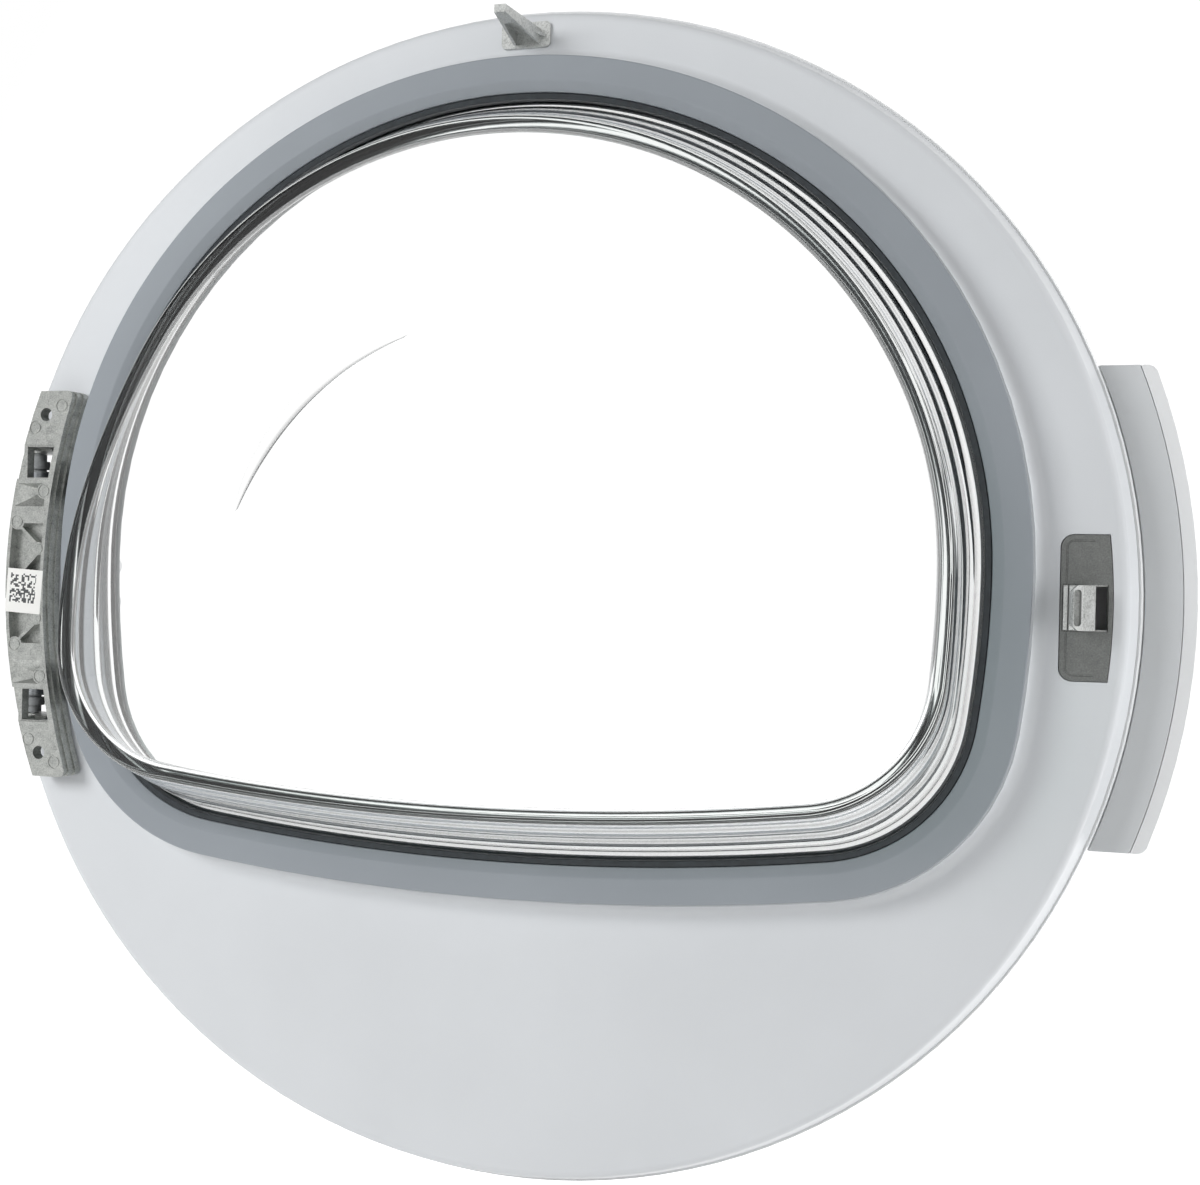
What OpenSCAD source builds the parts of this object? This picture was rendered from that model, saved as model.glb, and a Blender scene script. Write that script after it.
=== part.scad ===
/* [Inner panel] */
// Radius of the round inner panel
door_r = 230; // [222:1:245]
// Wall of the inner panel
panel_wall = 2.5; // [2:0.1:3]
// Round on the rim of the inner panel
rim_round = 4; // [3:0.5:5]
// Depth of the panel's side wall
skirt_h = 12; // [11:0.5:13]
// How far the side wall flares outwards
skirt_flare = 3.5; // [2.5:0.1:4]
// Height of the raised collar round the window
collar_h = 9.8; // [8.5:0.1:11]
// Width of the hollow curve at the foot of the collar
collar_run = 7; // [6:0.5:7.5]
// Ledge of the collar that shows outside the window frame
collar_ledge = 1; // [0.6:0.1:1.4]
// Width of the lip that the window frame lies on
lip_w = 6; // [5.6:0.1:6.6]
// Number of snap hooks on the side wall
snap_count = 12; // [8:1:14]

/* [Outer frame] */
// Bead that the outer frame shows beyond the panel's side wall
bead = 0.9; // [0.5:0.1:1.4]
// Depth of the outer frame's rounded nose
nose_h = 20.3; // [19:0.1:22]
// Width of the rounded nose
nose_w = 10.8; // [10:0.1:12]
// Wall of the outer frame
frame_wall = 2.8; // [2.4:0.1:3.2]
// How far the front bulges at its centre
crown_h = 10; // [6:0.5:14]
// Wall of the window reveal in the outer frame
reveal_wall = 2.5; // [2:0.1:3]
// How far the reveal opens out towards the front
reveal_flare = 26; // [22:0.5:27]

/* [Window outline] */
// Flat margin between the window frame's side and the panel's rim
window_margin = 34.5; // [34:0.5:40]
// Height of the window arch's centre above the door's centre
window_lift = 12.5; // [9:0.5:13]
// Radius of the window's lower sides
side_r = 400; // [300:10:600]
// Radius of the window's lower corners
corner_r = 75; // [65:1:85]
// Radius of the window's shallow lower edge
bottom_r = 950; // [800:10:1300]
// Depth of the window's lower edge below the door's centre
window_drop = 117.5; // [110:0.5:130]

/* [Window frame] */
// Width of the grey window frame
bezel_w = 13.9; // [13.5:0.1:16]
// Width of its flat outer part
bezel_flat = 9.4; // [7:0.1:10]
// Thickness of the window frame
bezel_t = 3.4; // [3:0.1:4]
// Fall of its bevelled inner part
bezel_fall = 1.8; // [1:0.1:2.2]
// Round on its outer edge
bezel_round = 0.8; // [0.4:0.1:1.2]

/* [Glass bowl] */
// Wall of the glass
glass_t = 4.5; // [4:0.1:5]
// Height of the bowl's crown above the panel in its lower half
bowl_h = 60; // [54:0.5:64]
// How much lower the bowl stands in its upper half
bowl_step = 20; // [12:0.5:24]
// Bulge of the bowl's front face
bowl_dome = 3.8; // [2:0.2:6]
// Round on the bowl's rim
bowl_round = 6; // [5:0.5:8]
// Draw-in of the bowl at its sides
bowl_side_in = 26.5; // [25:0.5:32]
// Draw-in of the bowl at its top
bowl_top_in = 29.7; // [28:0.1:34]
// Draw-in of the bowl at its lower edge
bowl_low_in = 36; // [30:0.5:38]
// Radius of the bowl's lower corners at its rim
bowl_corner_r = 52; // [46:1:60]
// Hollow curve at the foot of the bowl
foot_round = 2.8; // [2.5:0.1:4]
// Thickness of the seal under the window frame
seal_t = 2; // [1.6:0.1:2.4]
// Width of the seal lip that shows beside the glass
seal_w = 2.4; // [2.2:0.1:3.4]
// Height of the seal lip above the seal
seal_rise = 1; // [0.6:0.1:1.3]

/* [Clamp ring] */
// Thickness of the clamp ring's flat part
clamp_t = 3; // [2.6:0.1:3.4]
// Width of the clamp ring's flat part
clamp_w = 17.2; // [16:0.1:17.6]
// Diameter of the small screws
screw_d = 3; // [2.6:0.1:3.4]
// Diameter of their pan heads
screw_head_d = 5.8; // [5.2:0.1:6.4]
// Height of their pan heads
screw_head_h = 2.4; // [2:0.1:2.8]

/* [Hinge plate] */
// Overall height of the hinge plate
hinge_h = 163; // [158:1:170]
// Width of the hinge plate at its middle
hinge_w = 18.1; // [17:0.1:19]
// Radius of its inner edge
hinge_inner_r = 258; // [245:1:275]
// Round on its inner corners
hinge_round = 2.5; // [1:0.5:4]
// Distance of its outer edge from the panel's rim
hinge_edge = 6; // [5.4:0.1:7]
// Height of its mounting face above the panel
face_z = 10; // [9.6:0.1:11]
// Thickness of the hinge plate
hinge_t = 5.5; // [5:0.1:6]
// Width of the rail along its inner edge
rail_w = 2.4; // [2:0.1:2.8]
// Step by which the rail widens towards the panel
rail_step = 0.7; // [0.3:0.1:1]
// Gap between the rail and the panel
rail_gap = 0.8; // [0.5:0.1:1.2]
// Spacing of the two mounting screw holes
hole_spacing = 143; // [140:1:147]
// Diameter of the mounting screw holes
hole_d = 5.6; // [4.6:0.1:6]
// Distance of the holes from the plate's outer edge
hole_edge = 6; // [5:0.1:7]
// Depth of the lightening pockets
pocket_depth = 4; // [3:0.1:4.2]
// Rim left round the pockets
pocket_rim = 1.5; // [1.2:0.1:1.8]
// Half height of the long ribbed pocket
truss_half = 25.4; // [24:0.2:26]
// Thickness of the diagonal ribs in the pockets
rib_t = 1.2; // [1:0.1:1.6]
// Depth of the step in its face over each knuckle
step_d = 1; // [0.6:0.1:1.4]
// Thickness of the label in its seat
label_t = 0.15; // [0.1:0.05:0.2]

/* [Hinge pins and arms] */
// Distance of the pin axis from the panel's rim
pin_in = 4; // [3.6:0.1:4.6]
// Depth of the pin axis behind the panel's face
pin_depth = 14; // [13.5:0.1:14.6]
// Diameter of the hinge pins
pin_d = 4.4; // [4:0.1:4.8]
// Height of each knuckle's middle above or below the centre
knuckle_y = 41.7; // [41:0.1:42.4]
// Length of each knuckle
knuckle_len = 15.2; // [14.6:0.1:15.8]
// Radius of each knuckle
knuckle_r = 5.4; // [5.2:0.1:5.8]
// Wall of the pin bush
bush_wall = 0.9; // [0.7:0.1:1.1]
// Length of bush that shows in the plate's window
bush_reach = 7.5; // [7:0.1:8]
// Radius of the collar on that length
bush_collar_r = 4.5; // [4:0.1:5]
// Length of the collar
bush_collar_len = 3.4; // [3:0.1:3.8]
// Running clearance between pin and bush
pin_clear = 0.05; // [0.03:0.01:0.09]
// Thickness of the lugs that hold the pins
lug_t = 4.2; // [3.6:0.1:4.8]
// Length of the screws that hold the arms
hinge_screw_len = 14; // [12:0.5:15]
// Steel thickness of the hinge arms
arm_t = 2.5; // [2:0.1:3]
// Height of the hinge arms
arm_h = 15; // [14.2:0.1:15.2]
// Length of the hinge arms from the pin axis
arm_len = 33; // [32.5:0.5:33.5]
// Height above the panel to which the arms' flanges reach
arm_rise = 1.6; // [0.5:0.1:2.4]
// Thickness of those flanges
arm_flange_t = 1.7; // [1.4:0.1:2]

/* [Latch and switch] */
// Height of the latch plate
latch_h = 52.4; // [48:0.2:58]
// Width of the latch plate at its middle
latch_w = 18; // [17:0.1:19]
// Distance of its curved edge from the panel's rim
latch_edge = 6.5; // [5.5:0.1:7.5]
// Round on its inner corners
latch_round = 4.5; // [3:0.5:6]
// Height of the catch hook above the panel
hook_h = 13; // [11:0.5:16]
// Chamfer on the hook's inner corners
hook_chamfer = 2.2; // [1.5:0.1:3]
// Length of the catch hook along the rim
hook_len = 16; // [14:0.5:18]
// Thickness of the hook at its slotted nose
hook_nose = 4.2; // [3.8:0.1:4.6]
// Width of the catch window beside the hook
catch_w = 5; // [4.6:0.1:5.4]
// Width of the switch prong's base
prong_base_w = 20; // [18:0.5:23]
// Height of the switch prong's base
prong_base_h = 10; // [9:0.1:10.4]
// Height of the prong above the panel
prong_h = 30; // [24:0.5:34]
// Width of the prong at its base
prong_w = 11.4; // [10:0.1:12]
// Offset of the prong's foot from the middle of its base
prong_shift = 0.7; // [0:0.1:1.2]
// Sideways lean of the prong from foot to tip
prong_lean = 2; // [0:0.1:3]
// Width of the prong at its tip
prong_tip_w = 4.4; // [4:0.1:5.4]
// Wall of the prong
prong_wall = 1.1; // [1:0.1:1.3]

/* [Handle] */
// Reach of the handle beyond the panel's rim
handle_reach = 24.7; // [22:0.1:30]
// Height of the handle
handle_h = 180; // [168:1:190]
// Depth of the handle's back behind the panel's face
handle_back = 20; // [19:0.1:21]
// Thickness of the handle
handle_t = 12; // [11:0.1:13]
// Width of the band along the handle's outer edge
handle_band = 4.7; // [4:0.1:6]
// Thickness of the handle's back cover
cover_t = 2; // [1.6:0.1:2.4]
// Grip of the handle screws in the outer frame
screw_grip = 2.4; // [2:0.1:2.5]

/* [Hidden] */
$fn = 48;
// Facets of the large turned rings
ring_fn = 180;
// Clearance of a part that drops into a cut-out
fit = 0.25;
// Clearance of a fixed pin or screw in its hole
hold = 0.02;
// Gap at the seam between inner panel and outer frame
seam = 0.3;
// Free gap between parts that swing past each other
swing_gap = 0.3;
// Overshoot of a cutting shape
cut = 1;
// Length of a shape that cuts through the whole door
through = 2 * door_r;

// Window outline in one vector: arch radius, arch centre, side, corner and bottom radius, drop
window = [door_r - window_margin, window_lift, side_r, corner_r, bottom_r, window_drop];
window_top = window_lift + window[0];
// Outline of the bowl at its rim, drawn in from the window outline
rim = [window[0] - bowl_side_in,
       window_top - bowl_top_in - (window[0] - bowl_side_in),
       side_r, bowl_corner_r, bottom_r, window_drop - bowl_low_in];

// Heights above the panel's face of the parts stacked round the window
bezel_seat = collar_h + 0.2;
flange_top = bezel_seat - seal_t;
flange_low = flange_top - glass_t;
clamp_low = flange_low - clamp_t;
lip_low = collar_h - panel_wall;
bezel_skirt = 3.8;
// Stretch of the door's height over which the bowl's face falls
fold_low = -40;
fold_high = 90;

// Insets from the window outline of the same parts
skirt_in = lip_w + 0.3;
skirt_out = skirt_in + 1.9;
glass_in = skirt_out + 0.5;
seal_in = bezel_w + 0.2;
foot_in = seal_in + seal_w + 0.2;
wall_in = foot_in + foot_round;
clamp_in = 1.8;
clamp_out = clamp_in + clamp_w;
screw_in = (clamp_in + lip_w) / 2;
reveal_in = clamp_out - 0.5;

// Points of half the outline at which the clamp screws stand
clamp_screw_at = [3, 12, 19, 27, 35];

seam_z = -skirt_h - seam;
frame_front = seam_z - nose_h;
screw_boss_r = 4;
nose_r = door_r + skirt_flare + bead + 1.4 - nose_w;
nose_b = nose_h * 0.67;
nose_z = frame_front + nose_b;

hinge_ro = door_r - hinge_edge;
hinge_ri = hinge_ro - hinge_w;
hinge_inner_x = hinge_inner_r - hinge_ri;
hinge_hole_x = sqrt(pow(hinge_ro - hole_edge, 2) - pow(hole_spacing / 2, 2));
plate_z = face_z - hinge_t;
pin_x = -(door_r - pin_in);
pin_z = -pin_depth;
pin_r = pin_d / 2;
bush_r = pin_r + pin_clear + bush_wall;
bush_flange = 0.6;
arm_low = knuckle_y - knuckle_len / 2;
knuckle_top = arm_low + knuckle_len;
lug_low = arm_low - swing_gap - lug_t;
lug_high = knuckle_top + bush_reach + swing_gap;
pin_head = 1.4;
cavity_low = lug_low - 0.7;
cavity_high = lug_high + lug_t + pin_head + 0.6;
cavity_x = -(hinge_ro - 15);
slot_gap = 0.6;
window_low = arm_low + 10.8;
window_high = lug_high + 0.9;
trough_r = bush_collar_r + 0.5;
trough_wall = 1.4;
arm_z = pin_z - 2;
strap_top = arm_z + arm_t;
arm_screw_x = pin_x + arm_len - 6;
arm_flange_x = cavity_x + 2;
arm_flange_len = 11.4;
arm_flange_y = [arm_low + bush_flange, arm_low + arm_h - arm_flange_t];
bracket_t = 2;
bracket_x = pin_x + arm_len - 12.5;
bracket_w = 14.5;
bracket_h = 2 * (arm_low + arm_h + 13);

latch_r = door_r - latch_edge;
latch_x = latch_r - latch_w;
latch_t = panel_wall + 0.4;
hook_x = latch_x + 2.9;
hook_body = 8.5;
foot_x = latch_x + 1;
foot_w = 1.5;
catch_x = hook_x + hook_body;
hook_base_t = 2.2;
prong_y = window_top + collar_run + fit + 0.1 + prong_base_h / 2;
prong_base_t = 1.2;

handle_r = door_r + handle_reach;
handle_in = door_r + skirt_flare + bead + 1.9;
handle_front = -handle_back - handle_t;
root_top = -handle_back - cover_t;
root_low = root_top - 7;
root_r = door_r - 16;
root_h = handle_h - 20;
handle_screw_r = door_r - 9;
handle_screw_at = [for (a = [-16, -5.5, 5.5, 16]) handle_screw_r * [cos(a), sin(a)]];

// Arc of n steps about centre c from angle a to angle b
function arc(c, r, a, b, n) =
    [for (i = [0:n]) let (t = a + (b - a) * i / n) [c.x + r * cos(t), c.y + r * sin(t)]];

// Outline w moved inwards by s, with the same arc centres
function inset(w, s) = [w[0] - s, w[1], w[2] - s, w[3] - s, w[4] - s, w[5] - s];

// Centre of the lower right corner arc, which touches the side arc and the bottom arc
function corner_centre(w) =
    let (c1 = [w[0] - w[2], w[1]], c2 = [0, w[4] - w[5]],
         r1 = w[2] - w[3], r2 = w[4] - w[3],
         d = norm(c2 - c1), u = (c2 - c1) / d,
         a = (r1 * r1 - r2 * r2 + d * d) / (2 * d), h = sqrt(r1 * r1 - a * a))
    [c1.x + a * u.x + h * u.y, c1.y + a * u.y - h * u.x];

// Right half of a window outline, from the middle of its lower edge up to its top
function half_outline(w) =
    let (c1 = [w[0] - w[2], w[1]], c2 = [0, w[4] - w[5]], k = corner_centre(w),
         ks = k - c1, kb = k - c2,
         side_a = atan2(ks.y, ks.x), low_a = atan2(kb.y, kb.x),
         low = arc(c2, w[4], -90, low_a, 4), turn = arc(k, w[3], low_a, side_a, 10),
         side = arc(c1, w[2], side_a, 0, 4), arch = arc([0, w[1]], w[0], 0, 90, 20))
    concat([for (i = [0:3]) low[i]], [for (i = [0:9]) turn[i]],
           [for (i = [0:3]) side[i]], arch);

// Whole closed outline: the right half, then its mirror image without the two shared points
function outline(w) =
    let (h = half_outline(w), n = len(h))
    concat(h, [for (i = [n - 2:-1:1]) [-h[i].x, h[i].y]]);

// Outline w at height z, and the same drawn together about the bowl's middle by k
function ring(w, z) = [for (p = outline(w)) [p.x, p.y, z]];
function drawn_ring(w, z, k) =
    let (m = w[1] + (w[0] - w[5]) / 2 - w[1] / 2)
    [for (p = outline(w)) [p.x * k, m + (p.y - m) * k, z]];

// Fall of the bowl's face at height y of the door, and a ring lowered by the share s of it
function fall(y) =
    bowl_step * (1 - cos(180 * min(1, max(0, (y - fold_low) / (fold_high - fold_low))))) / 2;
function lowered(points, s) = [for (p = points) [p.x, p.y, p.z - s * fall(p.y)]];

// Triangles of the band between ring i and ring j, each of n points
function band(i, j, n) =
    [for (k = [0:n - 1], f = [0, 1]) let (m = (k + 1) % n)
        f == 0 ? [i * n + k, j * n + k, j * n + m] : [i * n + k, j * n + m, i * n + m]];

// Closed ring swept from a section of [inset, height] points
module swept_ring(w, section) {
    rings = [for (p = section) ring(inset(w, p[0]), p[1])];
    n = len(rings[0]);
    m = len(rings);
    polyhedron([for (r = rings, p = r) p], [for (i = [0:m - 1]) each band(i, (i + 1) % m, n)]);
}

// Flat ring between two insets of the window outline
module flat_ring(outer, inner, z0, z1) {
    translate([0, 0, z0]) linear_extrude(z1 - z0) difference() {
        polygon(outline(inset(window, outer)));
        polygon(outline(inset(window, inner)));
    }
}

// From the door's own frame, x right, y up and z towards the drum, to the mounting face
module place() {
    translate([hinge_hole_x, face_z, 0]) rotate([90, 0, 0]) children();
}

// Both halves of a mirrored pair above and below the middle
module above_and_below() {
    for (s = [0, 1]) mirror([0, s, 0]) children();
}

// Cylinder along the door's y axis, from y0 to y1, about the pin axis
module pin_cylinder(r, y0, y1) {
    translate([pin_x, y0, pin_z]) rotate([-90, 0, 0]) cylinder(r = r, h = y1 - y0);
}

// Pan-head screw that points towards +z from the underside of its head seat
module pan_screw(len) {
    cylinder(d = screw_d, h = len, $fn = 24);
    translate([0, 0, -screw_head_h]) cylinder(d = screw_head_d, h = screw_head_h, $fn = 24);
}

// Both clamp screw positions of every point in the list
module at_clamp_screws() {
    h = half_outline(inset(window, screw_in));
    for (i = clamp_screw_at, s = [-1, 1]) translate([s * h[i].x, h[i].y, 0]) children();
}

// Side of the inner panel: flat face, rounded rim and flared side wall, as a turned profile
function panel_profile() =
    let (c = [door_r - rim_round, -rim_round], ri = rim_round - panel_wall)
    concat([[0, 0]], arc(c, rim_round, 90, 0, 6),
           [[door_r + skirt_flare, -skirt_h], [door_r + skirt_flare - panel_wall, -skirt_h]],
           arc(c, max(ri, 0.3), 0, 90, 3), [[0, -panel_wall]]);

// Hollow curve of the collar, then the lip, then back along the inside of the wall
function collar_section() =
    let (a = collar_run - collar_ledge, b = collar_h,
         end = acos(panel_wall / (b + panel_wall)))
    concat([for (i = [0:6]) let (t = i * 15) [-collar_run + a * sin(t), b - b * cos(t)]],
           [[lip_w, collar_h], [lip_w, lip_low]],
           [for (i = [5:-1:0]) let (t = end * i / 5)
               [-collar_run + (a + panel_wall) * sin(t), b - (b + panel_wall) * cos(t)]]);

// Space that the lugs, pins and arms need in the edge of the door
module hinge_cavity() {
    above_and_below() {
        translate([-door_r - 20, cavity_low, nose_z - 7])
            cube([door_r + 20 + cavity_x, cavity_high - cavity_low, collar_h - nose_z + 7]);
        difference() {
            translate([cavity_x - cut, arm_low - slot_gap, -skirt_h])
                cube([40, arm_h + 2 * slot_gap, skirt_h + collar_h + cut]);
            translate([0, 0, -through / 2]) linear_extrude(through)
                polygon(outline(inset(window, lip_w / 2)));
        }
    }
}

// Outline of the latch plate, with its curved edge along the rim, grown by g
function latch_outline(g) =
    let (r = latch_r + g, y = latch_h / 2 + g, x = latch_x - g, c = latch_round + g,
         e = asin(y / r))
    concat(arc([0, 0], r, -e, e, 8),
           arc([x + c, y - c], c, 90, 180, 6), arc([x + c, c - y], c, 180, 270, 6));

module latch_shape(g, z0, z1) {
    translate([0, 0, z0]) linear_extrude(z1 - z0) polygon(latch_outline(g));
}

// Outline of the handle, with rounded outer corners
function handle_outline(r, y, x, c) =
    let (e = asin((y - c) / (r - c)), k = [(r - c) * cos(e), y - c])
    concat([[x, -y]], arc([k.x, -k.y], c, -90, -e, 5), arc([0, 0], r, -e, e, 16),
           arc(k, c, e, 90, 5), [[x, y]]);

// Outer face of the outer frame as a turned curve: nose, then the bulged front
function frame_curve(wall) =
    let (a = nose_w - wall, b = nose_b - wall,
         start = asin(min((seam_z - nose_z) / b, 0.95)))
    concat([for (i = [0:12]) let (t = start + (-90 - start) * i / 12)
               [nose_r + a * cos(t), nose_z + b * sin(t)]],
           [for (i = [1:8]) let (r = nose_r * (1 - i / 8)) [r, front_z(r) + wall]]);

// Height of the bulged front at radius r
function front_z(r) = frame_front - crown_h * (1 - pow(r / nose_r, 2));

// Plan of the hinge plate, with its inner edge moved towards the window by g
function plate_outline(g) =
    let (y = hinge_h / 2, c = hinge_round, r = hinge_inner_r - g, e = asin(y / hinge_ro),
         ky = y - c, kx = hinge_inner_x - sqrt(pow(r + c, 2) - ky * ky),
         t = atan2(ky, hinge_inner_x - kx))
    concat(arc([0, 0], hinge_ro, 180 - e, 180 + e, 16), arc([kx, -ky], c, -90, t, 5),
           arc([hinge_inner_x, 0], r, 180 + t, 180 - t, 12), arc([kx, ky], c, -t, 90, 5));

module plate_slab(z0, z1, g) {
    translate([0, 0, z0]) linear_extrude(z1 - z0) polygon(plate_outline(g));
}

// Space on the outer side of the strip of width w along the plate's inner edge
module beyond_strip(w, y0, y1, z0, z1) {
    difference() {
        translate([-door_r - 20, y0, z0]) cube([door_r, y1 - y0, z1 - z0]);
        translate([hinge_inner_x, 0, z0 - cut])
            cylinder(r = hinge_inner_r + w, h = z1 - z0 + 2 * cut, $fn = 2 * ring_fn);
    }
}

module hinge_plate() {
    step_z = face_z - 2.6;
    low_z = face_z - 6.2;
    apex = [-hinge_ro + 14.6, arm_low + 5.1];
    color("darkgray") place() difference() {
        union() {
            plate_slab(step_z, face_z, 0);
            plate_slab(plate_z, step_z, rail_step);
            intersection() {
                union() {
                    plate_slab(rail_gap, low_z, 2 * rail_step);
                    plate_slab(low_z, plate_z, rail_step);
                }
                translate([hinge_inner_x, 0, 0])
                    cylinder(r = hinge_inner_r + rail_w, h = face_z, $fn = 2 * ring_fn);
            }
            above_and_below() hinge_lugs();
        }
        above_and_below() {
            translate([-hinge_hole_x, hole_spacing / 2, -cut])
                cylinder(d = hole_d, h = face_z + 2 * cut);
            // Step in the face, and in it the window over the bush
            beyond_strip(rail_w, window_low - 0.6, window_high + 0.6, face_z - step_d, 20);
            intersection() {
                beyond_strip(rail_w, window_low, window_high, -cut, 20);
                translate([-hinge_ro + 8.7, 0, 0]) cube([hinge_w, 100, 20]);
            }
            // Pyramid pocket beside the window, with an ejector boss in its corner
            difference() {
                hull() {
                    translate([0, arm_low - 1.5, face_z]) linear_extrude(cut)
                        polygon([[-hinge_ro + 3.3, 0], [-hinge_ri - 0.2, 0],
                                 [-hinge_ri - 0.2, 9.9], [-hinge_ro + 4.8, 9.9]]);
                    translate([apex.x, apex.y, face_z - 4.4]) cube([0.6, 0.6, cut]);
                }
                translate([-hinge_ri - 0.3, arm_low + 5.1, 0]) cylinder(r = 3.4, h = face_z);
            }
            ejector_marks();
            for (y = [lug_low - cut, lug_high - cut])
                pin_cylinder(pin_r + hold, y, y + lug_t + 2 * cut);
        }
        truss_pocket();
        label_shape(fit / 2, face_z - label_t - 0.05, face_z + cut);
    }
}

// Long pocket crossed by a zigzag of ribs, with round ejector bosses and a pad for the label
module truss_pocket() {
    difference() {
        intersection() {
            beyond_strip(pocket_rim, -truss_half, truss_half, face_z - pocket_depth, 20);
            cylinder(r = hinge_ro - pocket_rim, h = 40, $fn = ring_fn);
        }
        above_and_below() {
            rib([-hinge_ro + 5.2, truss_half], [-hinge_ri - 2.6, 16]);
            rib([-hinge_ri - 2.6, 13], [-hinge_ro + 2.4, -0.6]);
            translate([-hinge_ro + 5.2, truss_half + 0.6, 0]) cylinder(r = 3.3, h = face_z);
            translate([-hinge_ri - 2.9, 14.7, 0]) cylinder(r = 2.8, h = face_z);
        }
        label_shape(-1, 0, face_z);
    }
}

// Rib in plan from point a to point b
module rib(a, b) {
    d = b - a;
    translate([a.x, a.y, 0]) rotate(atan2(d.y, d.x)) translate([0, -rib_t / 2, 0])
        cube([norm(d), rib_t, face_z]);
}

// Label stuck a little askew over the pocket, grown by g
module label_shape(g, z0, z1) {
    translate([-hinge_ro + 9, -3.4, z0]) rotate(-3.5)
        translate([-8.5 - g, -9.3 - g, 0]) cube([17 + 2 * g, 18.6 + 2 * g, z1 - z0]);
}

// Round marks left by the ejector pins of the casting mould
module ejector_marks() {
    for (p = [[hinge_hole_x - 7.6, 75.2], [hinge_hole_x + 5, 66], [hinge_ri + 0.3, arm_low + 5.1],
              [hinge_ro - 5.2, truss_half + 0.6], [hinge_ri + 2.9, 14.7]])
        translate([-p[0], p[1], face_z - 0.3]) difference() {
            cylinder(r = 2.8, h = cut, $fn = 32);
            translate([0, 0, -cut]) cylinder(r = 2.2, h = 3 * cut, $fn = 32);
        }
}

// Two bent lugs that reach down into the door's edge and hold one pin
module hinge_lugs() {
    bush_trough();
    for (y = [lug_low, lug_high]) difference() {
        union() {
            pin_cylinder(knuckle_r, y, y + lug_t);
            translate([pin_x, y + lug_t, pin_z]) rotate([90, 0, 0]) linear_extrude(lug_t)
                polygon([[2, 5], [8.5, 10.5], [8.5, plate_z - pin_z + 0.5],
                         [16, plate_z - pin_z + 0.5], [16, 8], [5, -2]]);
        }
    }
}

// Trough from the upper lug round the outer side of the bush
module bush_trough() {
    y = knuckle_top + swing_gap;
    difference() {
        pin_cylinder(trough_r + trough_wall, y, lug_high + lug_t);
        pin_cylinder(trough_r, y - cut, lug_high);
        // The side towards the window frame and the top stay open
        translate([pin_x - 2, y - cut, pin_z - 20]) cube([40, 20, 40]);
        translate([pin_x - 20, y - cut, pin_z + 3]) cube([40, 20, 20]);
    }
}

module hinge_label() {
    color("white") place() label_shape(0, face_z - label_t - 0.05, face_z - 0.05);
}

module hinge_pin() {
    pin_cylinder(pin_r, lug_low - 0.4, lug_high + lug_t + pin_head);
    pin_cylinder(pin_r + 1.2, lug_high + lug_t, lug_high + lug_t + pin_head);
}

module upper_hinge_pin() {
    color("silver") place() hinge_pin();
}

module lower_hinge_pin() {
    color("silver") place() mirror([0, 1, 0]) hinge_pin();
}

// Sleeve with a thrust flange at each end of the knuckle and a collar in the window
module hinge_bush() {
    top = knuckle_top + bush_reach;
    collar_y = knuckle_top + (bush_reach - bush_collar_len) / 2 - 1;
    difference() {
        union() {
            pin_cylinder(bush_r, arm_low, top);
            for (y = [arm_low, knuckle_top - bush_flange])
                pin_cylinder(knuckle_r - 0.2, y, y + bush_flange);
            pin_cylinder(bush_collar_r, collar_y, collar_y + bush_collar_len);
        }
        pin_cylinder(pin_r + pin_clear, arm_low - cut, top + cut);
    }
}

module upper_hinge_bush() {
    color("dimgray") place() hinge_bush();
}

module lower_hinge_bush() {
    color("dimgray") place() mirror([0, 1, 0]) hinge_bush();
}

// Pressed steel arm: rolled knuckle, flat strap and two upturned flanges
module hinge_arm() {
    flange = [arm_flange_len, arm_flange_t, arm_rise - arm_z];
    difference() {
        union() {
            pin_cylinder(knuckle_r, arm_low + bush_flange, knuckle_top - bush_flange);
            translate([pin_x, arm_low + bush_flange, arm_z])
                cube([arm_len, arm_h - bush_flange, arm_t]);
            // Flanges that stand up beside the plate and stay low under it
            difference() {
                for (y = arm_flange_y) translate([arm_flange_x, y, arm_z]) cube(flange);
                beyond_strip(-2 * rail_step - swing_gap, 0, through, rail_gap - swing_gap, arm_h);
            }
        }
        pin_cylinder(bush_r + hold, arm_low - cut, knuckle_top + cut);
        // Relief for the bush's upper thrust flange
        pin_cylinder(knuckle_r, knuckle_top - bush_flange, knuckle_top + cut);
        translate([arm_screw_x, arm_low + arm_h / 2, arm_z - cut])
            cylinder(d = screw_d + 0.4, h = arm_t + 2 * cut, $fn = 24);
    }
}

module upper_hinge_arm() {
    color("dimgray") place() hinge_arm();
}

module lower_hinge_arm() {
    color("dimgray") place() mirror([0, 1, 0]) hinge_arm();
}

// Places of the four screws that hold arms and bracket
module at_hinge_screws() {
    above_and_below() for (y = [8, arm_low + arm_h / 2])
        translate([arm_screw_x, y, 0]) children();
}

module hinge_reinforcement() {
    color("lightsteelblue") place() difference() {
        union() {
            translate([bracket_x, -bracket_h / 2, strap_top])
                cube([bracket_w, bracket_h, bracket_t]);
            translate([bracket_x + bracket_w - bracket_t, -bracket_h / 2, strap_top])
                cube([bracket_t, bracket_h, 6]);
        }
        at_hinge_screws() translate([0, 0, strap_top - cut])
            cylinder(d = screw_d + 0.4, h = bracket_t + 2 * cut, $fn = 24);
        // Slots for the arms' flanges
        above_and_below() for (y = arm_flange_y)
            translate([arm_flange_x - fit, y - fit, strap_top - cut])
                cube([arm_flange_len + 2 * fit, arm_flange_t + 2 * fit, bracket_t + 2 * cut]);
    }
}

module hinge_screws() {
    color("silver") place() at_hinge_screws()
        translate([0, 0, strap_top + bracket_t]) mirror([0, 0, 1]) pan_screw(hinge_screw_len);
}

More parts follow.
